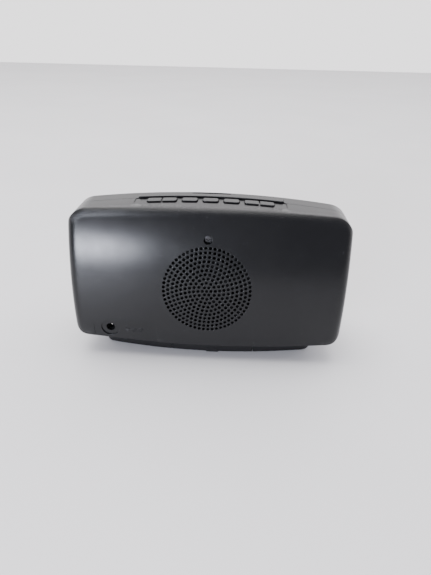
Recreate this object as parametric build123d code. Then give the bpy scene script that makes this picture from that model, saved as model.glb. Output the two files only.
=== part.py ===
from build123d import *
import math
import os

# Tabletop clock radio: a wedge of a casing with a convex back and a leaning display front, on a low
# base. +Z is up, the display looks towards -Y and the loudspeaker towards +Y. The origin is under
# the middle of the casing, on the surface that the rubber feet stand on. Millimetres throughout.

os.makedirs("parts", exist_ok=True)

# ---- casing ----
WIDTH = 194.0
DEPTH = 75.0
TOP_Z = 110.5  # top of the casing on its centre line
BELLY_Z = 13.5  # underside of the casing on its centre line
TOP_ARCH_R = 1400.0  # the top bows up by this radius
BELLY_ARCH_R = 900.0  # and the underside bows down by this one
TOP_CORNER_R = 14.0
BELLY_CORNER_R = 11.0
WALL = 2.2
SEAM_GAP = 0.3

REAR_R = 205.0  # the back is a barrel whose rearmost line is at REAR_LINE_Z
REAR_LINE_Z = 19.0
REAR_CROWN_R = 2900.0  # and it is nearly straight across
REAR_SIDE_R = 7.0

FRONT_LEAN = 11.0  # degrees that the front leans back
FRONT_ARC_R = 400.0  # the front bows forwards across the radio
FRONT_SIDE_R = 5.0
FRONT_TOP_Y = -18.5
FRONT_TOP_Z = 111.0
SEAM_DEPTH = 11.7  # the front casing reaches this far back

# ---- window ----
LENS_INSET = 11.5
LENS_CORNER_R = 8.0
LENS_T = 1.3
LENS_GAP = 0.15
WINDOW = (116.0, 42.0)

# ---- top controls ----
PANEL_HALF = 52.5
PANEL_END = 22.3  # depth of the key panel's rear edge behind the front
PANEL_SINK = 0.3
PANEL_T = 3.1
PANEL_CORNER_R = 3.0
KEY_FRONT, KEY_REAR = 13.6, 20.0  # depths behind the front
KEY_GAP = 0.45
KEY_PROUD = 0.7
KEY_PITCH = 14.5
KEY_W = 10.6
ROCKER_X = 33.75
ROCKER_W = 20.1
ROCKER_STEM = 7.0  # the two stems stand this far either side of the pivot
PIVOT_DROP = 6.5
PIN_R = 1.1
PIN_CLEARANCE = 0.05
BAR_HALF = 50.8
BAR_FRONT, BAR_REAR = 2.6, 10.9
BAR_PROUD = 1.0
BAR_POCKET = (13.8, 3.35, 5.6, 1.2)  # half length, two depths behind the front, depth
GUIDE_X = 30.0
STEM_LOW_Z = 104.0
BOARD_TOP_Z = 98.6
KEY_BOARD_T = 1.2
SWITCH_GAP = 1.3  # between a stem and the plunger under it

# ---- back ----
GRILLE_Z = 58.0
HOLE_R = 1.1
RING_PITCH = 3.0
RINGS = 10
RING_TWIST = 1.45  # degrees that each ring starts further round
JACK_X, JACK_Z = 70.0, 25.0
JACK_HOLE_R = 3.15
JACK_DISH_R = 6.7
SCREW_Z = 92.0

# ---- base ----
BASE_HALF = 80.0
BASE_REAR_Y = 28.7
BASE_FRONT_Y = -22.0
BASE_FLOOR_Z = 1.0
BASE_FLOOR_T = 2.0
BASE_DRAFT = 10.0
DOOR_X = (-35.5, 27.0)
DOOR_GAP = 0.3
DOOR_FRONT_Y = 2.0
BAY_X = (-30.3, 21.7)
BAY_Y = (3.2, 25.0)
BAY_TOP_Z = 14.2
BAY_WALL = 1.6
CELL_R, CELL_L = 5.25, 44.5
CELL_Y = (9.0, 20.2)
BASE_SCREW_X = 58.0
BASE_SCREW_Y = (-6.0, 16.0)
FOOT_X = 72.0
FOOT_Y = (-8.0, 14.0)
FOOT_R = 5.0

REAR_Y = DEPTH / 2
LEAN = math.tan(math.radians(FRONT_LEAN))
FRONT_AXIS_Y = FRONT_TOP_Y + FRONT_ARC_R
LOW, HIGH = -20.0, 150.0  # the limiting solids reach well past the casing
BIG = 180.0


def front_y(z):
    """Where the front is at height z on the centre line."""
    return FRONT_TOP_Y - (FRONT_TOP_Z - z) * LEAN


def rear_y(z):
    """Where the back is at height z on the centre line."""
    return REAR_Y - REAR_R + math.sqrt(REAR_R**2 - (z - REAR_LINE_Z) ** 2)


def top_z(x, rise=0.0):
    """Height of the arched top at x, raised by rise."""
    return TOP_Z - TOP_ARCH_R + math.sqrt((TOP_ARCH_R + rise) ** 2 - x * x)


def belly_z(x, inset=0.0):
    """Height of the arched underside at x, moved up by inset."""
    return BELLY_Z + BELLY_ARCH_R - math.sqrt((BELLY_ARCH_R - inset) ** 2 - x * x)


def bow_y(x, depth):
    """Where the line at this depth behind the front's top edge is at x, in plan."""
    return FRONT_AXIS_Y - math.sqrt((FRONT_ARC_R - depth) ** 2 - x * x)


# The back's own plane at the middle of the grille: Z outwards, Y up the wall.
tilt = math.asin((GRILLE_Z - REAR_LINE_Z) / REAR_R)
BACK = Plane((0, rear_y(GRILLE_Z), GRILLE_Z), x_dir=(-1, 0, 0), z_dir=(0, math.cos(tilt), math.sin(tilt)))
# The front's plane at the same height: Z outwards, Y up the front.
lean_angle = math.radians(FRONT_LEAN)
FRONT = Plane(
    (0, front_y(GRILLE_Z), GRILLE_Z), x_dir=(1, 0, 0), z_dir=(0, -math.cos(lean_angle), math.sin(lean_angle))
)


def rod(radius, low, high, x=0.0, y=0.0):
    """A round bar along Z between two heights."""
    return Pos(x, y, (low + high) / 2) * Cylinder(radius, high - low)


def tube(outer_r, inner_r, low, high, x=0.0, y=0.0):
    """A round tube along Z between two heights."""
    return rod(outer_r, low, high, x, y) - rod(inner_r, low - 1, high + 1, x, y)


def rod_y(radius, low, high, x, z):
    """A round bar along Y between two depths."""
    return Pos(x, (low + high) / 2, z) * Rot(90, 0, 0) * Cylinder(radius, high - low)


def block(x, y, z):
    """A box between a low and a high value on each axis."""
    centre = [(low + high) / 2 for low, high in (x, y, z)]
    return Pos(*centre) * Box(x[1] - x[0], y[1] - y[0], z[1] - z[0])


# ---- solids that limit the casing ----
def outline(inset, upper_r, lower_r):
    """The casing seen from the front, moved in by inset: arched top and underside, rounded corners."""
    w = WIDTH / 2 - inset
    top_end, low_end = top_z(w, -inset), belly_z(w, inset)
    face = make_face(
        [
            ThreePointArc((-w, top_end), (0, TOP_Z - inset), (w, top_end)),
            Line((w, top_end), (w, low_end)),
            ThreePointArc((w, low_end), (0, BELLY_Z + inset), (-w, low_end)),
            Line((-w, low_end), (-w, top_end)),
        ]
    )
    middle = (TOP_Z + BELLY_Z) / 2
    face = fillet(face.vertices().filter_by(lambda v: v.Y > middle), upper_r)
    return fillet(face.vertices().filter_by(lambda v: v.Y < middle - 20), lower_r)


def outline_prism(inset, upper_r, lower_r):
    """The outline drawn out from front to back."""
    return extrude(Plane.XZ * outline(inset, upper_r, lower_r), amount=BIG / 2, both=True)


def between_sides(inset):
    """The block between the two flat sides."""
    half = WIDTH / 2 - inset
    return block((-half, half), (-BIG / 2, BIG / 2), (LOW + 10, HIGH - 10))


def ahead_of_back(inset):
    """Everything in front of the barrel-shaped back, with its upright edges rounded into the sides."""
    r = REAR_R - inset
    mid = REAR_Y - REAR_R

    def y_at(z):
        return mid + math.sqrt(r * r - (z - REAR_LINE_Z) ** 2)

    profile = make_face(
        [
            Polyline((y_at(LOW), LOW), (-BIG / 2, LOW), (-BIG / 2, HIGH), (y_at(HIGH), HIGH)),
            ThreePointArc((y_at(HIGH), HIGH), (mid + r, REAR_LINE_Z), (y_at(LOW), LOW)),
        ]
    )
    swing = 3.0
    axis = Axis((0, REAR_Y - REAR_CROWN_R, 0), (0, 0, 1))
    solid = revolve(Plane.YZ * profile, axis, 2 * swing).rotate(axis, -swing) & between_sides(inset)
    return fillet(upright_edges(solid, 1), REAR_SIDE_R - inset)


def behind_front(depth, inset=None):
    """Everything behind the leaning, bowed front moved back by depth; rounded sides if inset is given."""
    lean = [(front_y(LOW) + depth, LOW), (BIG / 2, LOW), (BIG / 2, HIGH), (front_y(HIGH) + depth, HIGH)]
    profile = make_face(Polyline(*lean, close=True))
    swing = 17.0
    axis = Axis((0, FRONT_AXIS_Y, 0), (0, 0, 1))
    solid = revolve(Plane.YZ * profile, axis, 2 * swing).rotate(axis, -swing)
    if inset is None:
        return solid
    solid = solid & between_sides(inset)
    return fillet(upright_edges(solid, -1), FRONT_SIDE_R - inset)


def upright_edges(solid, side):
    """The long edges where the sides meet the back (side 1) or the front (side -1)."""
    return solid.edges().filter_by(
        lambda e: e.center().Y * side > -20 and abs(e.center().X) > WIDTH / 2 - 10 and e.length > 120
    )


def casing(inset):
    """The whole closed casing moved in by inset on every side."""
    front = behind_front(inset / math.cos(lean_angle), inset)
    return outline_prism(inset, TOP_CORNER_R - inset, BELLY_CORNER_R - inset) & front & ahead_of_back(inset)


OUTER = casing(0)
INNER = casing(WALL)
SHELL = OUTER - INNER


# ---- patches that follow the top ----
def top_layer(high, low):
    """The layer between two heights above the arched top."""
    w = WIDTH / 2
    return extrude(
        Plane.XZ
        * make_face(
            [
                ThreePointArc((-w, top_z(w, high)), (0, TOP_Z + high), (w, top_z(w, high))),
                Line((w, top_z(w, high)), (w, top_z(w, low))),
                ThreePointArc((w, top_z(w, low)), (0, TOP_Z + low), (-w, top_z(w, low))),
                Line((-w, top_z(w, low)), (-w, top_z(w, high))),
            ]
        ),
        amount=BIG / 2,
        both=True,
    )


def patch(x0, x1, near, far, high, low, corner=0.0, rear_only=False):
    """A piece of the top between two x, two depths behind the front and two heights above the arch."""
    mid = (x0 + x1) / 2
    face = make_face(
        [
            ThreePointArc((x0, bow_y(x0, near)), (mid, bow_y(mid, near)), (x1, bow_y(x1, near))),
            Line((x1, bow_y(x1, near)), (x1, bow_y(x1, far))),
            ThreePointArc((x1, bow_y(x1, far)), (mid, bow_y(mid, far)), (x0, bow_y(x0, far))),
            Line((x0, bow_y(x0, far)), (x0, bow_y(x0, near))),
        ]
    )
    if corner:
        line = bow_y(mid, (near + far) / 2)
        corners = face.vertices().filter_by(lambda v: v.Y > line or not rear_only)
        face = fillet(corners, corner)
    return extrude(Pos(0, 0, TOP_Z - 40) * face, 60) & top_layer(high, low)


def soften_top(solid, radius):
    """Round over the edge of a key's upper face."""
    upper = solid.faces().sort_by(Axis.Z)[-1]
    return fillet(upper.edges(), radius)


# ---- front casing ----
def screw_column():
    """The long boss that the rear screw pulls the front casing back by."""
    reach = rear_y(SCREW_Z) - 7.6
    column = rod_y(3.5, front_y(SCREW_Z) + 1, reach, 0, SCREW_Z) & behind_front(LENS_T + 0.3)
    return column - rod_y(1.3, reach - 12, reach + 1, 0, SCREW_Z)


BOARD_DEPTH = 17.0
POST_AT = [(x, y) for x in (-70, 70) for y in (-30, 24)]


def front_shell():
    """The front casing: leaning face with a sunk seat for the window, and the posts for the boards."""
    body = SHELL - behind_front(SEAM_DEPTH - SEAM_GAP)
    seat = outline_prism(LENS_INSET, LENS_CORNER_R, LENS_CORNER_R) - behind_front(LENS_T)
    opening = FRONT * Pos(0, 4, 0) * Box(*WINDOW, 40)
    slot = patch(-BAR_HALF - 0.4, BAR_HALF + 0.4, BAR_FRONT - 0.4, SEAM_DEPTH + 2, 5, -10)
    body = body - seat - opening - slot
    posts = [FRONT * rod(3, -BOARD_DEPTH, 0, x, y) & behind_front(LENS_T + 0.3) for x, y in POST_AT]
    pilots = [FRONT * rod(1.2, -BOARD_DEPTH - 1, -BOARD_DEPTH + 7, x, y) for x, y in POST_AT]
    return body + screw_column() + posts - pilots


def display_lens():
    """The smoked window that fills the sunk seat."""
    inset = LENS_INSET + LENS_GAP
    plate = outline_prism(inset, LENS_CORNER_R - LENS_GAP, LENS_CORNER_R - LENS_GAP)
    return plate & (behind_front(0) - behind_front(LENS_T))


# ---- display ----
MODULE = (120.0, 46.0, 7.0)
MODULE_DEPTH = 7.5
DISPLAY_UP = 4.0
DIGIT_W, DIGIT_H, DIGIT_BAR = 15.0, 30.0, 3.0
DIGIT_X = (-42.0, -19.0, 19.0, 42.0)
TIME_SHOWN = "1008"
# A segment's name to its place, in halves of the digit's width and height, and whether it lies flat.
SEGMENT = {
    "a": (0, 1, True),
    "b": (1, 0.5, False),
    "c": (1, -0.5, False),
    "d": (0, -1, True),
    "e": (-1, -0.5, False),
    "f": (-1, 0.5, False),
    "g": (0, 0, True),
}
LIT = {"0": "abcdef", "1": "bc", "8": "abcdefg"}


def display_panel():
    """The display module, a flat block behind the window."""
    return FRONT * Pos(0, DISPLAY_UP, -MODULE_DEPTH - MODULE[2] / 2) * Box(*MODULE)


BAR_PROUD_OF_MODULE = 0.4


def segment(flat):
    """One lit bar of a digit, pointed at both ends."""
    half = DIGIT_H / 4 - 0.5 if not flat else DIGIT_W / 2 - 0.5
    t = DIGIT_BAR / 2
    ends = [(-half, 0), (t - half, t), (half - t, t), (half, 0), (half - t, -t), (t - half, -t)]
    bar = make_face(Polyline(*ends, close=True))
    return Rot(0, 0, 0 if flat else 90) * extrude(bar, BAR_PROUD_OF_MODULE)


def display_digits():
    """The lit segments and the colon, which stand on the module's face."""
    bars = []
    for x, numeral in zip(DIGIT_X, TIME_SHOWN):
        for name in LIT[numeral]:
            across, up, flat = SEGMENT[name]
            place = Pos(x + across * DIGIT_W / 2, DISPLAY_UP + up * DIGIT_H / 2, -MODULE_DEPTH)
            bars.append(FRONT * place * segment(flat))
    for up in (-6, 6):
        dot = rod(1.8, -MODULE_DEPTH, -MODULE_DEPTH + BAR_PROUD_OF_MODULE, 0, DISPLAY_UP + up)
        bars.append(FRONT * dot)
    return Compound(children=bars)


def display_holder():
    """The frame that boxes the module in against the front casing."""
    outer = Pos(0, DISPLAY_UP, -9.0) * Box(MODULE[0] + 7, MODULE[1] + 7, 15)
    inner = Pos(0, DISPLAY_UP, -14.0) * Box(MODULE[0] + 0.4, MODULE[1] + 0.4, 2 * (14.0 - MODULE_DEPTH) + 0.2)
    hood = Pos(0, DISPLAY_UP, 0) * Box(MODULE[0] - 6, MODULE[1] - 6, 40)
    return FRONT * (outer - inner - hood) & behind_front(WALL / math.cos(lean_angle) + 0.1)


# ---- main board ----
BOARD = (150.0, 62.0, 1.6)
BOARD_UP = -3.0
BOARD_BACK = -BOARD_DEPTH - BOARD[2]


def on_board(shape, x, y, height):
    """Stand a shape, centred on its own origin, on the back of the main board."""
    return FRONT * Pos(x, y, BOARD_BACK - height / 2) * shape


def main_board():
    """The main circuit board, on the front casing's posts."""
    board = Pos(0, BOARD_UP, -BOARD_DEPTH - BOARD[2] / 2) * Box(*BOARD)
    holes = [rod(1.5, BOARD_BACK - 1, -BOARD_DEPTH + 1, x, y) for x, y in POST_AT]
    return FRONT * (board - holes)


def board_chips():
    """Clock, tuner and amplifier chips."""
    sizes = [(-30, 8, 18, 8, 3), (8, -6, 10, 8, 2), (38, -20, 12, 9, 2.5)]
    return Compound(children=[on_board(Box(w, h, t), x, y, t) for x, y, w, h, t in sizes])


def board_capacitors():
    """Electrolytic capacitors."""
    sizes = [(48, 8, 4, 9), (58, 8, 4, 9), (52, -6, 3.2, 7), (-52, -22, 3.2, 7), (-44, -22, 3.2, 7)]
    return Compound(children=[on_board(Cylinder(r, h), x, y, h) for x, y, r, h in sizes])


def tuner_cans():
    """The screened tuning coils."""
    return Compound(children=[on_board(Box(7, 7, 8), x, 6, 8) for x in (-62, -52)])


def board_connectors():
    """The plug-in sockets for the three leads."""
    return Compound(children=[on_board(Box(8, 5, 6), x, -25, 6) for x in (-20, 12, 60)])


def board_screws():
    """Screws through the board into its posts."""
    screws = [
        FRONT * (rod(2.6, BOARD_BACK - 1.6, BOARD_BACK, x, y) + rod(1.1, BOARD_BACK, BOARD_BACK + 7, x, y))
        for x, y in POST_AT
    ]
    return Compound(children=screws)


# ---- aerial ----
ROD_Z, ROD_Y = 82.0, 2.0
ROD_R, ROD_HALF = 4.0, 35.0


def along_x(shape, x):
    """Lay a shape made along Z on the aerial rod's own line."""
    return Pos(x, ROD_Y, ROD_Z) * Rot(0, 90, 0) * shape


def ferrite_rod():
    """The aerial's ferrite rod."""
    return along_x(Cylinder(ROD_R, 2 * ROD_HALF), 0)


def aerial_coil():
    """The winding on a sleeve at one end of the rod."""
    return along_x(Cylinder(5.4, 24) - Cylinder(ROD_R + 0.1, 30), -14)


def aerial_clips():
    """Two clips that carry the rod on the back of the main board."""
    clips = []
    for x in (-31, 31):
        ring = along_x(Cylinder(ROD_R + 1.5, 4) - Cylinder(ROD_R + 0.05, 10), x)
        at_board = FRONT * Pos(x, 24, BOARD_BACK) * Box(4, 6, 0.01)
        arm_y = (at_board.bounding_box().max.Y + 0.45, ROD_Y - ROD_R - 0.6)
        clips.append(ring + block((x - 2, x + 2), arm_y, (ROD_Z - 2, ROD_Z + 2)))
    return Compound(children=clips)


# ---- key panel and keys ----
def key_patch(x, width, grow, high, low, corner=1.6):
    """A key's own outline, grown all round, between two heights above the arch."""
    half = width / 2 + grow
    return patch(x - half, x + half, KEY_FRONT - grow, KEY_REAR + grow, high, low, corner + grow)


KEYS = {"key_1": KEY_PITCH, "key_2": 0.0, "key_3": -KEY_PITCH}
ROCKERS = {"key_left_rocker": ROCKER_X, "key_right_rocker": -ROCKER_X}
KEY_MID = (KEY_FRONT + KEY_REAR) / 2
POST_X = 47.5


def pivot_z(x):
    """Height of a rocker's pivot at x."""
    return top_z(x) - PIVOT_DROP


def pivot_ears(x):
    """The two lugs under the panel that carry a rocker's pin."""
    z = pivot_z(x)
    ears = []
    front_ear = (SEAM_DEPTH + 0.25, KEY_FRONT - KEY_GAP - 0.05)
    rear_ear = (KEY_REAR + KEY_GAP + 0.1, PANEL_END - 0.1)
    for near, far in (front_ear, rear_ear):
        ears.append(block((x - 2.4, x + 2.4), (bow_y(x, near), bow_y(x, far)), (z - 2.2, top_z(x) - 3)))
    return ears[0] + ears[1]


def key_panel():
    """The inlaid strip that the keys come up through, with a flange under the casing's top."""
    low = -PANEL_SINK - PANEL_T
    near = SEAM_DEPTH + 0.15
    panel = patch(-PANEL_HALF, PANEL_HALF, near, PANEL_END, -PANEL_SINK, low, PANEL_CORNER_R, rear_only=True)
    panel += patch(-PANEL_HALF - 2, PANEL_HALF + 2, near, PANEL_END + 2, -WALL, low)
    for x in KEYS.values():
        panel -= key_patch(x, KEY_W, KEY_GAP, 1, low - 1)
    for x in ROCKERS.values():
        panel -= key_patch(x, ROCKER_W, KEY_GAP, 1, low - 1)
        panel += pivot_ears(x)
        panel -= rod_y(PIN_R + PIN_CLEARANCE, bow_y(x, 11), bow_y(x, 24), x, pivot_z(x))
    for x in (-POST_X, POST_X):
        y = bow_y(x, KEY_MID)
        panel += rod(2, BOARD_TOP_Z, TOP_Z - 3.2, x, y)
        panel -= rod(0.9, BOARD_TOP_Z - 1, BOARD_TOP_Z + 6, x, y)
    return panel


def single_key(x):
    """A push key: proud cap, a flange that keeps it in, and the stem over its switch."""
    cap = soften_top(key_patch(x, KEY_W, 0, KEY_PROUD, -3.6), 0.35)
    flange = patch(x - KEY_W / 2 - 1, x + KEY_W / 2 + 1, KEY_FRONT - 1, KEY_REAR + 1, -3.75, -4.7)
    neck = key_patch(x, KEY_W, -1, -3.5, -3.9, corner=2)
    return cap + neck + flange + rod(1.5, STEM_LOW_Z, TOP_Z - 4.2, x, bow_y(x, KEY_MID))


NOTCH_HALF = 0.55


def rocker(x):
    """A rocking key: two pads with a notch between them, on a pin that runs front to back."""
    cap = soften_top(key_patch(x, ROCKER_W, 0, KEY_PROUD, -3.6), 0.35)
    notch_y = (bow_y(x, KEY_FRONT) - 3, bow_y(x, KEY_REAR) + 3)
    cap -= block((x - NOTCH_HALF, x + NOTCH_HALF), notch_y, (TOP_Z - 0.9, TOP_Z + 3))
    z = pivot_z(x)
    web_y = (bow_y(x, KEY_FRONT) + 0.6, bow_y(x, KEY_REAR) - 0.6)
    web = block((x - 1.6, x + 1.6), web_y, (z - 1.1, top_z(x) - 3.2))
    pin = rod_y(PIN_R, bow_y(x, SEAM_DEPTH + 0.4), bow_y(x, PANEL_END - 0.2), x, z)
    key = cap + web + pin
    for side in (-1, 1):
        at = x + side * ROCKER_STEM
        key += rod(1.4, STEM_LOW_Z, TOP_Z - 3.4, at, bow_y(x, KEY_MID))
    return key


def snooze_bar():
    """The long bar at the front of the top, with a sunk finger mark, a stem and two guide pins."""
    bar = patch(-BAR_HALF, BAR_HALF, BAR_FRONT, BAR_REAR, BAR_PROUD, -1.8, 1.2)
    middle = (BAR_FRONT + BAR_REAR) / 2
    bar += rod(2, STEM_LOW_Z, TOP_Z - 1, 0, bow_y(0, middle))
    for x in (-GUIDE_X, GUIDE_X):
        bar += rod(1.5, BOARD_TOP_Z - KEY_BOARD_T - 3, TOP_Z - 1, x, bow_y(x, middle))
    half, near, far, deep = BAR_POCKET
    return soften_top(bar, 0.5) - patch(-half, half, near, far, 5, BAR_PROUD - deep, 0.6)


def key_board():
    """The small board under the keys, with holes for the bar's guides and its two screws."""
    board = block((-51, 51), (-13.6, 5.6), (BOARD_TOP_Z - KEY_BOARD_T, BOARD_TOP_Z))
    for x in (-GUIDE_X, GUIDE_X):
        board -= rod(1.8, 90, 110, x, bow_y(x, (BAR_FRONT + BAR_REAR) / 2))
    for x in (-POST_X, POST_X):
        board -= rod(1.3, 90, 110, x, bow_y(x, KEY_MID))
    return board


def key_switches():
    """A push switch under each stem."""
    places = [(x, bow_y(x, KEY_MID)) for x in KEYS.values()]
    places += [(x + side * ROCKER_STEM, bow_y(x, KEY_MID)) for x in ROCKERS.values() for side in (-1, 1)]
    places.append((0, bow_y(0, (BAR_FRONT + BAR_REAR) / 2)))
    plunger_z = STEM_LOW_Z - SWITCH_GAP
    switches = []
    for x, y in places:
        case = block((x - 3, x + 3), (y - 3, y + 3), (BOARD_TOP_Z, BOARD_TOP_Z + 3))
        switches.append(case + rod(1.7, BOARD_TOP_Z + 2, plunger_z, x, y))
    return Compound(children=switches)


def key_board_screws():
    """Screws that hold the key board to the panel's posts."""
    low = BOARD_TOP_Z - KEY_BOARD_T
    screws = [
        rod(2.2, low - 1.4, low, x, bow_y(x, KEY_MID)) + rod(0.8, low, low + 6, x, bow_y(x, KEY_MID))
        for x in (-POST_X, POST_X)
    ]
    return Compound(children=screws)


# ---- rear casing ----
SEAT_LOW = -6.0  # the loudspeaker's seat, on its own axis
SPEAKER_IN = 1.2  # how far that axis's zero lies inside the back
SPEAKER_FLAT = 30.8  # the rim is cut off level under the rear screw's boss
SEAT_R, SEAT_HOLE_R = 35.0, 31.6
SPEAKER_SCREW_R = 36.3
SPEAKER_SCREWS = [(SPEAKER_SCREW_R, angle) for angle in (45, 135, 225, 315)]
SYMBOL_Z = 24.0
SYMBOL_X = (-1.5, -6.5, -11.5)  # on the flat, from its own middle
SYMBOL_PROUD = 0.25


SPEAKER = BACK.offset(-SPEAKER_IN)


def grille_holes():
    """The drilled holes: one in the middle and rings of 6, 12, 18 and so on round it."""
    hole = Pos(0, 0, -2) * Cylinder(HOLE_R, 14)
    holes = [BACK * hole]
    for ring in range(1, RINGS + 1):
        count = 6 * ring
        for step in range(count):
            turn = Rot(0, 0, RING_TWIST * ring + step * 360 / count)
            holes.append(BACK * turn * Pos(RING_PITCH * ring, 0, 0) * hole)
    return holes


def speaker_seat():
    """The ring and the four screw posts that the loudspeaker sits on."""
    seat = rod(SEAT_R, SEAT_LOW, 5)
    for r, angle in SPEAKER_SCREWS:
        a = math.radians(angle)
        seat += rod(2.6, SEAT_LOW - 1, 5, r * math.cos(a), r * math.sin(a))
    seat -= rod(SEAT_HOLE_R, SEAT_LOW - 1, 6)
    seat -= tube(33.7, 20, SEAT_LOW - 2, SEAT_LOW)
    for r, angle in SPEAKER_SCREWS:
        a = math.radians(angle)
        seat -= rod(1.25, SEAT_LOW - 3, SEAT_LOW + 2.4, r * math.cos(a), r * math.sin(a))
    return (SPEAKER * seat) & casing(WALL - 0.4)


FLAT_X, FLAT_TOP_Z = 59.0, 31.6
FLAT_TURN = math.degrees(FLAT_X / REAR_CROWN_R)
FLAT_Y = rear_y(FLAT_TOP_Z) - FLAT_X**2 / (2 * REAR_CROWN_R)
FLAT = Location((FLAT_X, FLAT_Y, 0), (0, 0, -FLAT_TURN))


DISH_Y = FLAT_Y - (JACK_X - FLAT_X) * math.sin(math.radians(FLAT_TURN)) - 0.9  # floor of the round dish
JACK_PAD_T = 2.3


def socket_flat():
    """What is cut away to leave the flat beside the power socket, in the lower corner of the back."""
    return FLAT * block((-23, 23), (0, 5), (8, 60))


def polarity_symbol():
    """The raised power symbol on the flat: three rings on a line, the middle one with a dot."""
    y = (-0.2, SYMBOL_PROUD)
    ring = Cylinder(1.7, 2 * SYMBOL_PROUD) - Cylinder(1.25, 2)
    marks = [Pos(x, 0, SYMBOL_Z) * Rot(90, 0, 0) * ring for x in SYMBOL_X]
    marks.append(rod_y(0.55, *y, SYMBOL_X[1], SYMBOL_Z))
    for a, b in zip(SYMBOL_X, SYMBOL_X[1:]):
        marks.append(block((b + 1.6, a - 1.6), y, (SYMBOL_Z - 0.2, SYMBOL_Z + 0.2)))
    for x in (SYMBOL_X[0], SYMBOL_X[2]):
        marks.append(block((x - 0.8, x + 0.8), y, (SYMBOL_Z - 0.2, SYMBOL_Z + 0.2)))
    marks.append(block((SYMBOL_X[2] - 0.2, SYMBOL_X[2] + 0.2), y, (SYMBOL_Z - 0.8, SYMBOL_Z + 0.8)))
    return [FLAT * mark for mark in marks]


def rear_shell():
    """The rear casing: barrel back with the drilled grille, top, sides and underside."""
    body = SHELL & behind_front(SEAM_DEPTH)
    half = PANEL_HALF + 0.2
    near = SEAM_DEPTH - 2
    body -= patch(-half, half, near, PANEL_END + 0.2, 5, -WALL - 1, PANEL_CORNER_R, rear_only=True)
    body -= socket_flat()
    body += polarity_symbol()
    body += speaker_seat()
    screw_y = rear_y(SCREW_Z)
    body += rod_y(4.5, screw_y - 7.3, screw_y - 0.6, 0, SCREW_Z) & casing(0)
    for x in (-BASE_SCREW_X, BASE_SCREW_X):
        for y in BASE_SCREW_Y:
            body += rod(3.5, belly_z(x) + 0.8, belly_z(x) + 11, x, y)
            body -= rod(1.3, LOW, belly_z(x) + 10, x, y)
    body += rod_y(JACK_DISH_R + 1.2, DISH_Y - JACK_PAD_T, DISH_Y, JACK_X, JACK_Z)
    body -= rod_y(JACK_DISH_R, DISH_Y, DISH_Y + 5, JACK_X, JACK_Z)
    body -= rod_y(JACK_HOLE_R, DISH_Y - 8, DISH_Y + 5, JACK_X, JACK_Z)
    body -= rod_y(2.9, screw_y - 3.6, screw_y + 5, 0, SCREW_Z)
    body -= rod_y(1.6, screw_y - 9, screw_y + 5, 0, SCREW_Z)
    body -= block(
        (BAY_X[0] - BAY_WALL - 0.3, BAY_X[1] + BAY_WALL + 0.3),
        (BAY_Y[0] - BAY_WALL - 0.3, BAY_Y[1] + 0.4),
        (LOW, BAY_TOP_Z + BAY_WALL + 3),
    )
    return body - grille_holes()


# ---- fittings on the back ----
def cross_slot(size, depth):
    """A cross recess for a screwdriver, sunk from Z = 0 downwards."""
    arm = Pos(0, 0, -depth / 2) * Box(size, size * 0.24, depth)
    return arm + Rot(0, 0, 90) * arm


def rear_screw():
    """The cross-head screw above the grille, at the bottom of its recess."""
    screw = rod(2.6, -2.0, 0) + rod(1.2, -15.5, -2)
    screw = fillet(screw.edges().filter_by(GeomType.CIRCLE).sort_by(Axis.Z)[-1], 0.6)
    screw -= cross_slot(3.2, 1.2)
    return Pos(0, rear_y(SCREW_Z) - 1.6, SCREW_Z) * Rot(-90, 0, 0) * screw


JACK_L = 12.0
JACK_MOUTH_Y = DISH_Y - JACK_PAD_T  # the socket's body lies against the back of its pad


def dc_jack():
    """The power socket's moulded body with its blind bore."""
    along = (JACK_MOUTH_Y - JACK_L, JACK_MOUTH_Y)
    body = block((JACK_X - 5.5, JACK_X + 5.5), along, (JACK_Z - 5, JACK_Z + 5))
    return body - rod_y(JACK_HOLE_R - 0.05, JACK_MOUTH_Y - JACK_L + 2, JACK_MOUTH_Y + 1, JACK_X, JACK_Z)


def dc_pin():
    """The socket's centre pin with a rounded tip."""
    pin = rod(0.98, 0, 8.9)
    pin = fillet(pin.edges().sort_by(Axis.Z)[-1], 0.8)
    return Pos(JACK_X, JACK_MOUTH_Y - JACK_L + 2, JACK_Z) * Rot(-90, 0, 0) * pin


# ---- loudspeaker, made about its own axis; Z outwards, 0 at the grille ----
def turned(points):
    """A solid turned about the loudspeaker's axis from radius and height pairs."""
    return revolve(Plane.XZ * make_face(Polyline(*points, close=True)), Axis.Z)


def speaker_basket():
    """The pressed steel frame with four windows."""
    profile = [
        (33.5, SEAT_LOW), (33.5, SEAT_LOW - 1), (27.8, SEAT_LOW - 1), (17, -16.8), (7.3, -16.8),
        (7.3, -16.0), (16.4, -16.0), (27.0, SEAT_LOW),
    ]
    frame = turned(profile)
    for angle in (0, 90, 180, 270):
        frame -= Rot(0, 0, angle) * Pos(22, 0, -12) * Box(14, 20, 4.4)
    frame -= block((-40, 40), (SPEAKER_FLAT, 50), (-10, 0))
    return SPEAKER * frame


def speaker_plates():
    """The magnet's front plate, and the back plate with its pole."""
    front = tube(15, 7.3, -18.8, -16.8)
    back = rod(15.5, -26.3, -24.3) + rod(6.1, -24.5, -17)
    return Compound(children=[SPEAKER * front, SPEAKER * back])


def speaker_magnet():
    """The ferrite ring between the plates."""
    return SPEAKER * tube(17.5, 8.6, -24.3, -18.8)


def speaker_coil():
    """The voice coil in the magnet's gap."""
    return SPEAKER * tube(7.0, 6.5, -22.5, -13.6)


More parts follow.
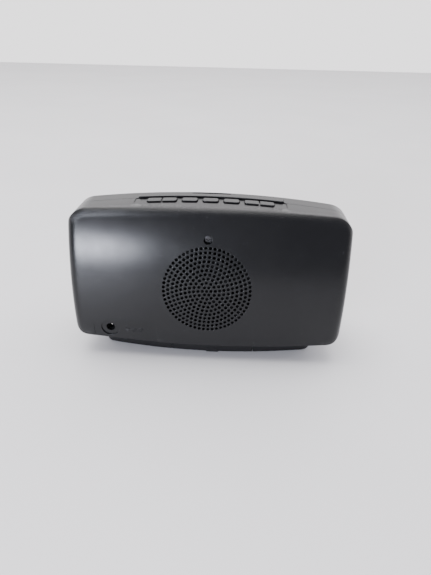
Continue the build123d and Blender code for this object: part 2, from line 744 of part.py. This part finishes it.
def speaker_cone():
    """The paper cone with its rolled edge."""
    profile = make_face(
        [
            Polyline((26.6, -5.6), (30.5, -5.6), (30.5, -5.95), (26.8, -5.95)),
            ThreePointArc((26.8, -5.95), (24.4, -4.0), (22.0, -6.4)),
            Polyline((22.0, -6.4), (7.1, -14.1), (7.1, -13.5), (21.8, -5.9)),
            ThreePointArc((21.8, -5.9), (24.4, -3.5), (26.6, -5.6)),
        ]
    )
    return SPEAKER * revolve(Plane.XZ * profile, Axis.Z)


def speaker_dust_cap():
    """The domed cap over the voice coil."""
    ball_r = 14.0
    crown = -8.1
    dome = Sphere(ball_r) - Sphere(ball_r - 0.5)
    return SPEAKER * (Pos(0, 0, crown - ball_r) * dome & rod(9.4, -13, 0))


def speaker_screws():
    """Wide-headed screws that clamp the basket's rim."""
    screws = []
    for r, angle in SPEAKER_SCREWS:
        a = math.radians(angle)
        x, y = r * math.cos(a), r * math.sin(a)
        head = rod(4.1, SEAT_LOW - 2.6, SEAT_LOW - 1, x, y)
        screws.append(SPEAKER * (head + rod(1.15, SEAT_LOW - 1, SEAT_LOW + 2, x, y)))
    return Compound(children=screws)


def speaker_terminals():
    """The tag strip on the lower side of the basket."""
    return SPEAKER * (block((-6, 6), (-31.0, -24.6), (-12.4, -11.2)) - rod(24.4, -20, 0))


# ---- base ----
def base_plan(inset):
    """The base in plan: a bowed back and front, with rounded corners."""
    w = BASE_HALF - inset
    rear, front = BASE_REAR_Y - inset, BASE_FRONT_Y + inset
    sag = w * w / (2 * FRONT_ARC_R)
    face = make_face(
        [
            ThreePointArc((-w, rear - sag), (0, rear), (w, rear - sag)),
            Line((w, rear - sag), (w, front + sag)),
            ThreePointArc((w, front + sag), (0, front), (-w, front + sag)),
            Line((-w, front + sag), (-w, rear - sag)),
        ]
    )
    return fillet(face.vertices(), 8 - inset)


def base_block():
    """The base as a solid, spreading upwards until it meets the casing."""
    return extrude(Pos(0, 0, BASE_FLOOR_Z) * base_plan(0), 26, taper=-BASE_DRAFT) - OUTER


def base_hollow():
    """The space inside the base's walls."""
    return extrude(Pos(0, 0, BASE_FLOOR_Z + BASE_FLOOR_T) * base_plan(2), 26, taper=-BASE_DRAFT)


def door_space(gap):
    """The part of the base that the battery door takes up."""
    return block((DOOR_X[0] + gap, DOOR_X[1] - gap), (DOOR_FRONT_Y + gap, 60), (-5, 40))


BASE = base_block()
HOLLOW = base_hollow()


def base_plate():
    """The hollow base under the casing, with the battery bay and the screw posts."""
    body = BASE - HOLLOW
    bay = block(
        (BAY_X[0] - BAY_WALL, BAY_X[1] + BAY_WALL),
        (BAY_Y[0] - BAY_WALL, BAY_Y[1]),
        (BASE_FLOOR_Z + BASE_FLOOR_T, BAY_TOP_Z + BAY_WALL),
    )
    body -= door_space(0)
    body += bay
    body -= block(BAY_X, (BAY_Y[0], 60), (-5, BAY_TOP_Z))
    rim = block((DOOR_X[0] - 3, DOOR_X[1] + 3), (DOOR_FRONT_Y - 3, DOOR_FRONT_Y + 1.0), (3.2, 5.0))
    body += rim - block(BAY_X, (BAY_Y[0] - BAY_WALL, 60), (-5, BAY_TOP_Z))
    for x in (-BASE_SCREW_X, BASE_SCREW_X):
        for y in BASE_SCREW_Y:
            body += rod(4.2, BASE_FLOOR_Z, 40, x, y) - OUTER
            body -= rod(3.0, LOW, 5, x, y)
            body -= rod(1.5, LOW, 40, x, y)
    for x in (-FOOT_X, FOOT_X):
        for y in FOOT_Y:
            body -= rod(FOOT_R + 0.15, LOW, BASE_FLOOR_Z + 0.6, x, y)
    return body


def battery_door():
    """The door: floor and rear wall in one, with a finger tab at its lower edge."""
    door = (BASE - HOLLOW) & door_space(DOOR_GAP)
    door = door & block((-90, 90), (-60, 60), (0, BELLY_Z - 0.3))
    middle = sum(DOOR_X) / 2
    tab_y = (BASE_REAR_Y - 1.6, BASE_REAR_Y + 0.8)
    tab = block((middle - 4.5, middle + 4.5), tab_y, (BASE_FLOOR_Z, BASE_FLOOR_Z + 2.4))
    return door + tab


def backup_cells():
    """Two slim cells lying side by side, with their raised ends."""
    cells = []
    middle = sum(BAY_X) / 2
    for y, way in zip(CELL_Y, (1, -1)):
        can = rod(CELL_R, -CELL_L / 2, CELL_L / 2 - 1)
        can = fillet(can.edges().filter_by(GeomType.CIRCLE), 0.7)
        cell = can + rod(1.9, CELL_L / 2 - 1.2, CELL_L / 2)
        cells.append(Pos(middle, y, BAY_TOP_Z - 0.6 - CELL_R) * Rot(0, 90 * way, 0) * cell)
    return Compound(children=cells)


def battery_contacts():
    """Bent leaf contacts at both ends of each cell."""
    leaf_t = 0.4
    contacts = []
    for x, way in ((BAY_X[0], 1), (BAY_X[1], -1)):
        for y in CELL_Y:
            z = BAY_TOP_Z - 0.6 - CELL_R
            bend = [(0, 5), (leaf_t, 5), (leaf_t, -2.6), (3.0, 2.2), (3.4, 2.0), (0.5, -4), (0, -4)]
            leaf = extrude(Plane.XZ * make_face(Polyline(*bend, close=True)), 3.5, both=True)
            place = Pos(x + way * 0.05, y, z) * Rot(0, 0, 0 if way > 0 else 180)
            contacts.append(place * leaf)
    return Compound(children=contacts)


def base_screws():
    """Screws from below through the base into the rear casing."""
    screws = []
    for x in (-BASE_SCREW_X, BASE_SCREW_X):
        for y in BASE_SCREW_Y:
            slot = Pos(0, 0, 3) * Rot(180, 0, 0) * cross_slot(3.0, 1.0)
            screws.append(Pos(x, y, 0) * (rod(2.7, 3, 5) + rod(1.2, 5, 24) - slot))
    return Compound(children=screws)


def rubber_feet():
    """Four rubber pads, glued into shallow pockets."""
    pads = []
    for x in (-FOOT_X, FOOT_X):
        for y in FOOT_Y:
            pad = rod(FOOT_R, 0, BASE_FLOOR_Z + 0.6)
            lower_edge = pad.edges().filter_by(GeomType.CIRCLE).sort_by(Axis.Z)[0]
            pads.append(Pos(x, y, 0) * fillet(lower_edge, 0.5))
    return Compound(children=pads)


# ---- leads ----
LEAD_R = 0.65
ROUND = 0.45  # of the shorter run beside each corner goes into its arc


def lead(points):
    """One wire along straight runs joined by tangent arcs."""
    vectors = [Vector(*p) for p in points]
    runs = [b - a for a, b in zip(vectors, vectors[1:])]
    radii = []
    for first, second in zip(runs, runs[1:]):
        half_turn = math.radians(first.get_angle(second) / 2)
        radii.append(ROUND * min(first.length, second.length) / math.tan(half_turn))
    path = FilletPolyline(*points, radius=radii)
    wire = sweep(Plane(path @ 0, z_dir=path % 0) * Circle(LEAD_R), path=path)
    ideal = math.pi * LEAD_R**2 * path.length
    print("lead volume over ideal", round(wire.volume / ideal, 4))
    return wire


def pair(points, spread_start, spread_end):
    """Two wires side by side: the same route, moved apart along X by more or less at each end."""
    wires = []
    last = len(points) - 1
    for side in (-1, 1):
        route = [
            (x + side * (spread_start + (spread_end - spread_start) * i / last), y, z)
            for i, (x, y, z) in enumerate(points)
        ]
        wires.append(lead(route))
    return Compound(children=wires)


def speaker_lead():
    """The pair from the loudspeaker's tags to the main board."""
    route = [(0.2, 25.3, 27.6), (1, 19.5, 26.0), (5, 10.5, 23.0), (9, 1.0, 24.5), (12, -6.3, 30.8)]
    return pair(route, 3.0, 1.2)


def power_lead():
    """The pair from the power socket to the main board."""
    return pair([(70, 20.85, 25), (69.5, 13.5, 24.0), (66.5, 4.5, 25.5), (62, -6.3, 31.5)], 2.4, 1.2)


def battery_lead():
    """The pair from the battery bay to the main board."""
    return pair([(-24, 6.5, 16.6), (-23.6, 5.2, 23.0), (-21.5, 0.0, 28.2), (-20, -6.3, 31.2)], 1.8, 1.2)


PIECES = {
    "front_shell": front_shell,
    "rear_shell": rear_shell,
    "display_lens": display_lens,
    "display_panel": display_panel,
    "display_digits": display_digits,
    "display_holder": display_holder,
    "main_board": main_board,
    "board_chips": board_chips,
    "board_capacitors": board_capacitors,
    "tuner_cans": tuner_cans,
    "board_connectors": board_connectors,
    "board_screws": board_screws,
    "ferrite_rod": ferrite_rod,
    "aerial_coil": aerial_coil,
    "aerial_clips": aerial_clips,
    "key_panel": key_panel,
    "snooze_bar": snooze_bar,
    "key_board": key_board,
    "key_switches": key_switches,
    "key_board_screws": key_board_screws,
    "rear_screw": rear_screw,
    "dc_jack": dc_jack,
    "dc_pin": dc_pin,
    "speaker_basket": speaker_basket,
    "speaker_plates": speaker_plates,
    "speaker_magnet": speaker_magnet,
    "speaker_coil": speaker_coil,
    "speaker_cone": speaker_cone,
    "speaker_dust_cap": speaker_dust_cap,
    "speaker_screws": speaker_screws,
    "speaker_terminals": speaker_terminals,
    "base_plate": base_plate,
    "battery_door": battery_door,
    "backup_cells": backup_cells,
    "battery_contacts": battery_contacts,
    "base_screws": base_screws,
    "rubber_feet": rubber_feet,
    "speaker_lead": speaker_lead,
    "power_lead": power_lead,
    "battery_lead": battery_lead,
}

for node, make in PIECES.items():
    export_step(make(), f"parts/{node}.step")
for node, x in KEYS.items():
    export_step(single_key(x), f"parts/{node}.step")
for node, x in ROCKERS.items():
    export_step(rocker(x), f"parts/{node}.step")
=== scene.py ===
import math

import bpy
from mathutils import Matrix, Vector

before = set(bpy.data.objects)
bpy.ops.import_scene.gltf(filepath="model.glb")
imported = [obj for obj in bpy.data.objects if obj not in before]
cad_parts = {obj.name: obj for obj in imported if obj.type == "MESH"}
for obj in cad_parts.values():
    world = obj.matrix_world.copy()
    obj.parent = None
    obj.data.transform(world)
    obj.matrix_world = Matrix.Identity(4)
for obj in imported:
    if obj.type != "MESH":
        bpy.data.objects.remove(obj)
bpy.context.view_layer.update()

# ---- casing: rear and front shells ----
# The two halves of the casing, injection moulded in charcoal ABS with a fine satin spark finish.
# They meet on a hair line over the top and sides, and one screw above the grille draws them together.
CHARCOAL = (0.0040, 0.0041, 0.0048, 1)
CHARCOAL_WORN = (0.024, 0.025, 0.028, 1)
CHARCOAL_CLOUD = (0.0052, 0.0053, 0.0061, 1)
DUST = (0.16, 0.16, 0.17, 1)
DUST_SIZE = 0.0008
MOULDED_IOR = 1.37
PATCH_SIZE = 0.03
SCUFF_SIZE = 0.002
SMEAR_SIZE = 0.018
EDGE_SAMPLES = 6
# the crease above the back, and the back's upright corners, are rounded by this much
CREASE_R = 0.007
CREASE_SAMPLES = 12
CREASE_ABOVE_Z = (0.0975, 0.1)
CORNERS_PAST_X = (0.083, 0.086)
BEHIND_KEYS_Y = (0.008, 0.010)


def node(tree, kind, **values):
    """Add a shader node and set the sockets that are named."""
    made = tree.nodes.new(kind)
    for name, value in values.items():
        made.inputs[name].default_value = value
    return made


def finish_on(name):
    """Start a finish: its material, tree and shader, and the object's own coordinates."""
    made = bpy.data.materials.new(name)
    made.use_nodes = True
    tree = made.node_tree
    place = tree.nodes.new("ShaderNodeTexCoord").outputs["Object"]
    return made, tree, tree.nodes["Principled BSDF"], place


def cloud(tree, place, size, detail=3.0, rough=0.55):
    """Noise with lumps of the given size, in metres."""
    made = node(tree, "ShaderNodeTexNoise", Scale=1 / size, Detail=detail, Roughness=rough)
    tree.links.new(place, made.inputs["Vector"])
    return made.outputs["Fac"]


def spread(tree, factor, low, high, to_low=0.0, to_high=1.0):
    """Stretch a factor from low..high to a new range, clamped."""
    made = tree.nodes.new("ShaderNodeMapRange")
    ends = {"From Min": low, "From Max": high, "To Min": to_low, "To Max": to_high}
    for socket, value in ends.items():
        made.inputs[socket].default_value = value
    tree.links.new(factor, made.inputs["Value"])
    return made.outputs["Result"]


def blend_colours(tree, factor, first, second):
    """Go from the first colour to the second as the factor rises; either may be another blend."""
    made = tree.nodes.new("ShaderNodeMix")
    made.data_type = "RGBA"
    tree.links.new(factor, made.inputs[0])
    for socket, colour in ((made.inputs[6], first), (made.inputs[7], second)):
        if isinstance(colour, tuple):
            socket.default_value = colour
        else:
            tree.links.new(colour, socket)
    return made.outputs[2]


def axis_of(tree, place, axis):
    """One of the three coordinates."""
    made = tree.nodes.new("ShaderNodeSeparateXYZ")
    tree.links.new(place, made.inputs[0])
    return made.outputs[axis]


def calculate(tree, operation, first, second=None):
    """One arithmetic step on one or two factors."""
    made = tree.nodes.new("ShaderNodeMath")
    made.operation = operation
    for socket, value in zip(made.inputs, (first, second)):
        if value is not None:
            tree.links.new(value, socket)
    return made.outputs[0]


def softened(tree, radius, samples):
    """The normal with the edges within a radius rounded off."""
    bevel = node(tree, "ShaderNodeBevel", Radius=radius)
    bevel.samples = samples
    return bevel.outputs["Normal"]


def rounded_edges(tree, radius):
    """The normal with small rounded edges, and a mask of those edges."""
    normal = softened(tree, radius, EDGE_SAMPLES)
    turn = tree.nodes.new("ShaderNodeVectorMath")
    turn.operation = "DOT_PRODUCT"
    tree.links.new(normal, turn.inputs[0])
    tree.links.new(tree.nodes.new("ShaderNodeNewGeometry").outputs["Normal"], turn.inputs[1])
    return normal, spread(tree, turn.outputs["Value"], 0.999, 0.86)


def soften_crease(tree, place, normal):
    """Round the long crease and the upright corners more than the other edges."""
    high = spread(tree, axis_of(tree, place, "Z"), *CREASE_ABOVE_Z)
    wide = spread(tree, calculate(tree, "ABSOLUTE", axis_of(tree, place, "X")), *CORNERS_PAST_X)
    rearward = spread(tree, axis_of(tree, place, "Y"), *BEHIND_KEYS_Y)
    choice = tree.nodes.new("ShaderNodeMix")
    choice.data_type = "VECTOR"
    where = calculate(tree, "MULTIPLY", calculate(tree, "MAXIMUM", high, wide), rearward)
    tree.links.new(where, choice.inputs[0])
    tree.links.new(normal, choice.inputs[4])
    tree.links.new(softened(tree, CREASE_R, CREASE_SAMPLES), choice.inputs[5])
    return choice.outputs[1]


def grain(tree, height, normal, depth, strength):
    """Raise the surface by a height map, on top of a normal."""
    bump = node(tree, "ShaderNodeBump", Distance=depth, Strength=strength)
    tree.links.new(height, bump.inputs["Height"])
    if normal is not None:
        tree.links.new(normal, bump.inputs["Normal"])
    return bump.outputs["Normal"]


def moulded(name, colour, worn, cloudy, rough=(0.22, 0.27), grain_size=0.00035, depth=0.000006,
            edge=0.0004, dust=0.0, creased=False):
    """A moulding: clouded colour, satin grain, scuffed rounded edges and a little dust."""
    made, tree, shader, place = finish_on(name)
    normal, edges = rounded_edges(tree, edge)
    if creased:
        normal = soften_crease(tree, place, normal)
    patches = spread(tree, cloud(tree, place, PATCH_SIZE), 0.35, 0.65)
    base = blend_colours(tree, patches, colour, cloudy)
    rubbed = spread(tree, cloud(tree, place, SCUFF_SIZE, 4.0), 0.40, 0.72)
    base = blend_colours(tree, calculate(tree, "MULTIPLY", edges, rubbed), base, worn)
    if dust:
        specks = spread(tree, cloud(tree, place, DUST_SIZE, 2.0, 0.4), 0.79 - dust, 0.82 - dust)
        base = blend_colours(tree, specks, base, DUST)
    tree.links.new(base, shader.inputs["Base Color"])
    smears = cloud(tree, place, SMEAR_SIZE, 5.0, 0.6)
    tree.links.new(spread(tree, smears, 0.3, 0.7, *rough), shader.inputs["Roughness"])
    spark = cloud(tree, place, grain_size, 2.0)
    tree.links.new(grain(tree, spark, normal, depth, 0.55), shader.inputs["Normal"])
    shader.inputs["IOR"].default_value = MOULDED_IOR
    return made


def coat(finish, *names):
    """Give the named pieces a finish, in every one of their material slots."""
    for name in names:
        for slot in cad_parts[name].material_slots:
            slot.material = finish


casing_plastic = moulded("casing_plastic", CHARCOAL, CHARCOAL_WORN, CHARCOAL_CLOUD, dust=0.02, creased=True)
coat(casing_plastic, "rear_shell", "front_shell")

# ---- key strip ----
# A separate moulding in the casing's plastic, let into the top behind the snooze bar.
# The keys come up through its slots.
coat(casing_plastic, "key_panel")

# ---- keys and snooze bar ----
# Loose caps in the same plastic, buffed a little smoother where fingers rest. The single keys and
# the bar press straight down, and each rocker turns on a pin that runs front to back.
key_plastic = moulded(
    "key_plastic", (0.0068, 0.0070, 0.0078, 1), CHARCOAL_WORN, CHARCOAL_CLOUD,
    rough=(0.20, 0.27), edge=0.0003, dust=0.01,
)
coat(key_plastic, "key_1", "key_2", "key_3", "key_left_rocker", "key_right_rocker", "snooze_bar")

# ---- key board, main board and speaker tag strip ----
# Glass-filled boards under green solder resist, with fine tracks showing as a slight relief.
# Screws hold the key board and the main board inside the casing.
TRACK_SCALE = 260.0
RESIST, RESIST_ON_TRACK = (0.012, 0.07, 0.03, 1), (0.03, 0.15, 0.06, 1)
solder_resist, tree, shader, place = finish_on("solder_resist")
tracks = node(tree, "ShaderNodeTexVoronoi", Scale=TRACK_SCALE)
tracks.feature = "DISTANCE_TO_EDGE"
tree.links.new(place, tracks.inputs["Vector"])
line = spread(tree, tracks.outputs["Distance"], 0.03, 0.09, 1.0, 0.0)
tree.links.new(blend_colours(tree, line, RESIST, RESIST_ON_TRACK), shader.inputs["Base Color"])
tree.links.new(grain(tree, line, None, 0.00003, 0.5), shader.inputs["Normal"])
tree.links.new(spread(tree, cloud(tree, place, 0.01), 0.3, 0.7, 0.25, 0.4), shader.inputs["Roughness"])
coat(solder_resist, "main_board", "key_board", "speaker_terminals")

# ---- small black mouldings ----
# Switches, chips, the socket's body, the aerial's clips, and the display's module and hooded frame.
# All are moulded in black plastic or epoxy.
black_plastic = moulded(
    "black_plastic", (0.012, 0.012, 0.013, 1), (0.03, 0.03, 0.03, 1), (0.016, 0.016, 0.017, 1),
    rough=(0.4, 0.55),
)
coat(black_plastic, "key_switches", "board_chips", "dc_jack", "aerial_clips")
coat(black_plastic, "display_panel", "display_holder")

# ---- plugs on the main board ----
# Natural nylon housings that stand on the main board.
# The three leads push into them.
nylon = moulded(
    "nylon", (0.62, 0.58, 0.48, 1), (0.75, 0.72, 0.64, 1), (0.55, 0.51, 0.42, 1), rough=(0.4, 0.55)
)
coat(nylon, "board_connectors")

# ---- window of the display ----
# Polished acrylic, tinted through, lying flush in the front casing.
# Slight waves from moulding and faint finger smears show in its reflections.
smoked_window, tree, shader, place = finish_on("smoked_window")
shader.inputs["Base Color"].default_value = (0.055, 0.05, 0.055, 1)
shader.inputs["Transmission Weight"].default_value = 1.0
shader.inputs["IOR"].default_value = 1.49
smears = cloud(tree, place, 0.02, 5.0)
tree.links.new(spread(tree, smears, 0.3, 0.7, 0.015, 0.06), shader.inputs["Roughness"])
tree.links.new(grain(tree, cloud(tree, place, 0.004, 2.0), None, 0.000002, 0.3), shader.inputs["Normal"])
coat(smoked_window, "display_lens")

# ---- lit bars of the display ----
# Red bars on the face of the display's module, seen through the tinted window.
# Each glows a little unevenly.
lit_bars, tree, shader, place = finish_on("lit_bars")
glow = spread(tree, cloud(tree, place, 0.004), 0.3, 0.7)
red = blend_colours(tree, glow, (0.9, 0.02, 0.008, 1), (1.0, 0.045, 0.012, 1))
tree.links.new(red, shader.inputs["Base Color"])
tree.links.new(red, shader.inputs["Emission Color"])
shader.inputs["Emission Strength"].default_value = 11.0
coat(lit_bars, "display_digits")


# ---- screws ----
# Steel screws, blackened in the back, and plain zinc-plated inside and below. Those in the
# loudspeaker's rim are near-black, partly as blacking and partly as painted shade that keeps the
# grille's holes dark. Their plating is dulled in patches and brighter along the edges.
def plated(name, bright, dull, rough):
    """A plated metal: patchy tone, drawn streaks and softened edges."""
    made, tree, shader, place = finish_on(name)
    normal, edges = rounded_edges(tree, 0.0002)
    patches = spread(tree, cloud(tree, place, 0.004, 4.0), 0.35, 0.65)
    base = blend_colours(tree, patches, bright, dull)
    tree.links.new(blend_colours(tree, edges, base, bright), shader.inputs["Base Color"])
    tree.links.new(spread(tree, patches, 0, 1, *rough), shader.inputs["Roughness"])
    tree.links.new(grain(tree, cloud(tree, place, 0.0008), normal, 0.00001, 0.3), shader.inputs["Normal"])
    shader.inputs["Metallic"].default_value = 1.0
    return made


dark_screw = plated("dark_screw", (0.08, 0.08, 0.085, 1), (0.04, 0.04, 0.043, 1), (0.32, 0.5))
bare_steel = plated("bare_steel", (0.56, 0.57, 0.59, 1), (0.40, 0.41, 0.42, 1), (0.28, 0.46))
coat(dark_screw, "rear_screw", "speaker_screws")
coat(bare_steel, "board_screws", "key_board_screws", "base_screws")

# ---- tuning cans and capacitors ----
# Tinned cans that screen the tuner, and capacitors in drawn aluminium cans.
# Both stand on the main board, in the same bright metal as the plain screws.
coat(bare_steel, "tuner_cans", "board_capacitors")

# ---- loudspeaker ----
# A pressed frame and plates around a sintered ferrite magnet, and a cone and cap of pressed paper
# driven by a copper coil. Frame, plates and cone are near-black, partly as black paint and paper and
# partly as painted shade that keeps the grille's holes as dark as the shadow inside the casing.
# Four screws clamp its rim to the rear casing.
black_paint_and_painted_shade = moulded(
    "black_paint_and_painted_shade", (0.006, 0.006, 0.006, 1), (0.05, 0.05, 0.052, 1), (0.008, 0.008, 0.008, 1),
    rough=(0.5, 0.65), grain_size=0.0005, depth=0.00002,
)
coat(black_paint_and_painted_shade, "speaker_basket", "speaker_plates")
cone_paper = moulded(
    "cone_paper", (0.012, 0.012, 0.012, 1), (0.03, 0.03, 0.03, 1), (0.02, 0.02, 0.02, 1),
    rough=(0.8, 0.95), grain_size=0.0008, depth=0.00006,
)
coat(cone_paper, "speaker_cone", "speaker_dust_cap")
ferrite = moulded(
    "ferrite", (0.03, 0.03, 0.032, 1), (0.09, 0.09, 0.09, 1), (0.045, 0.045, 0.047, 1),
    rough=(0.5, 0.7), grain_size=0.0005, depth=0.00003,
)
coat(ferrite, "speaker_magnet")
TURNS_SCALE = 1300.0
wound_copper, tree, shader, place = finish_on("wound_copper")
turns = node(tree, "ShaderNodeTexWave", Scale=TURNS_SCALE, Distortion=0.4)
tree.links.new(place, turns.inputs["Vector"])
copper = blend_colours(tree, turns.outputs["Fac"], (0.30, 0.10, 0.03, 1), (0.72, 0.33, 0.13, 1))
tree.links.new(copper, shader.inputs["Base Color"])
tree.links.new(grain(tree, turns.outputs["Fac"], None, 0.0001, 0.6), shader.inputs["Normal"])
shader.inputs["Metallic"].default_value = 0.85
shader.inputs["Roughness"].default_value = 0.32
coat(wound_copper, "speaker_coil")

# ---- aerial ----
# A sintered ferrite rod, held across the casing by two clips.
# Its tuning coil is close-wound enamelled copper.
coat(ferrite, "ferrite_rod")
coat(wound_copper, "aerial_coil")

# ---- socket's pin and battery contacts ----
# The turned centre pin of the power socket, and the leaves at the ends of the battery bay.
# All are nickel-plated, so that they make good contact.
nickel = plated("nickel", (0.78, 0.76, 0.72, 1), (0.62, 0.60, 0.56, 1), (0.12, 0.24))
coat(nickel, "dc_pin", "battery_contacts")

# ---- base and battery door ----
# Coarser, darker mouldings that aren't meant to be seen. Screws from below fix the base to the
# casing, and the door slides out of it towards the back.
base_plastic = moulded(
    "base_plastic", (0.0045, 0.0045, 0.005, 1), (0.02, 0.02, 0.021, 1), (0.0065, 0.0065, 0.007, 1),
    rough=(0.46, 0.6), grain_size=0.0006, depth=0.00003,
)
coat(base_plastic, "base_plate", "battery_door")

# ---- feet ----
# Four pads of black rubber, punched from sheet.
# They are glued into shallow pockets under the base.
pad_rubber = moulded(
    "pad_rubber", (0.010, 0.010, 0.010, 1), (0.04, 0.039, 0.037, 1), (0.016, 0.016, 0.015, 1),
    rough=(0.7, 0.9), grain_size=0.0009, depth=0.00005, dust=0.04,
)
coat(pad_rubber, "rubber_feet")

# ---- cells ----
# Two slim cells in shrunk-on sleeves, left plain here.
# They lie side by side in the base.
cell_sleeve = moulded(
    "cell_sleeve", (0.03, 0.06, 0.13, 1), (0.35, 0.35, 0.36, 1), (0.04, 0.08, 0.16, 1), rough=(0.2, 0.34)
)
coat(cell_sleeve, "backup_cells")

# ---- leads ----
# Three pairs of stranded wire in red PVC, from the loudspeaker, the socket and the battery bay
# to the plugs on the main board.
lead_pvc = moulded(
    "lead_pvc", (0.32, 0.02, 0.015, 1), (0.45, 0.10, 0.08, 1), (0.26, 0.015, 0.012, 1), rough=(0.32, 0.44)
)
coat(lead_pvc, "speaker_lead", "power_lead", "battery_lead")

# ---- floor ----
# A plain pale sheet that the radio stands on.
# Its tone changes very slightly from place to place.
FLOOR_HALF = 3.0
floor_mesh = bpy.data.meshes.new("floor")
corners = [(x * FLOOR_HALF, y * FLOOR_HALF, 0) for x, y in ((-1, -1), (1, -1), (1, 1), (-1, 1))]
floor_mesh.from_pydata(corners, [], [(0, 1, 2, 3)])
floor = bpy.data.objects.new("floor", floor_mesh)
bpy.context.scene.collection.objects.link(floor)
pale_floor, tree, shader, place = finish_on("pale_floor")
tone = spread(tree, cloud(tree, place, 0.25, 4.0), 0.3, 0.7)
paper_white = blend_colours(tree, tone, (0.70, 0.69, 0.70, 1), (0.74, 0.73, 0.74, 1))
tree.links.new(paper_white, shader.inputs["Base Color"])
shader.inputs["Roughness"].default_value = 0.5
floor_mesh.materials.append(pale_floor)


# ---- light ----
# A broad soft light behind the radio and to one side, like a window on an overcast day, and a
# large one overhead. The surroundings are pale beyond the display and dim behind the grille.
def soft_light(name, at, towards, width, height, power, colour=(1, 1, 1)):
    """A rectangular soft light aimed at a point."""
    lamp = bpy.data.lights.new(name, "AREA")
    lamp.shape = "RECTANGLE"
    lamp.size = width
    lamp.size_y = height
    lamp.energy = power
    lamp.color = colour
    made = bpy.data.objects.new(name, lamp)
    made.location = at
    made.rotation_euler = (Vector(towards) - Vector(at)).to_track_quat("-Z", "Y").to_euler()
    bpy.context.scene.collection.objects.link(made)


soft_light("window_light", (1.02, 1.95, 0.44), (0, 0.03, 0.06), 0.74, 0.36, 68, (0.84, 0.88, 1.0))
soft_light("ceiling_light", (0.3, -0.2, 2.4), (0, 0, 0), 1.8, 1.8, 62)

PALE_SIDE, DIM_SIDE = (1.08, 1.06, 1.08, 1), (0.25, 0.25, 0.27, 1)
world = bpy.data.worlds.new("surroundings")
world.use_nodes = True
tree = world.node_tree
direction = tree.nodes.new("ShaderNodeTexCoord").outputs["Generated"]
towards_pale = spread(tree, axis_of(tree, direction, "Y"), 0.35, -0.25)
background = tree.nodes["Background"]
tree.links.new(blend_colours(tree, towards_pale, DIM_SIDE, PALE_SIDE), background.inputs["Color"])
background.inputs["Strength"].default_value = 2.0
bpy.context.scene.world = world

# ---- camera ----
# Behind the radio and a little above it.
# It is close in, so the lens is a wide one.
eye = bpy.data.cameras.new("eye")
eye.lens = 25.98
eye.clip_start = 0.01
eye.clip_end = 50.0
camera = bpy.data.objects.new("eye", eye)
camera.location = (-0.0153, 0.2753, 0.2102)
camera.rotation_euler = [math.radians(a) for a in (58.393, -1.107, -177.119)]
bpy.context.scene.collection.objects.link(camera)
bpy.context.scene.camera = camera
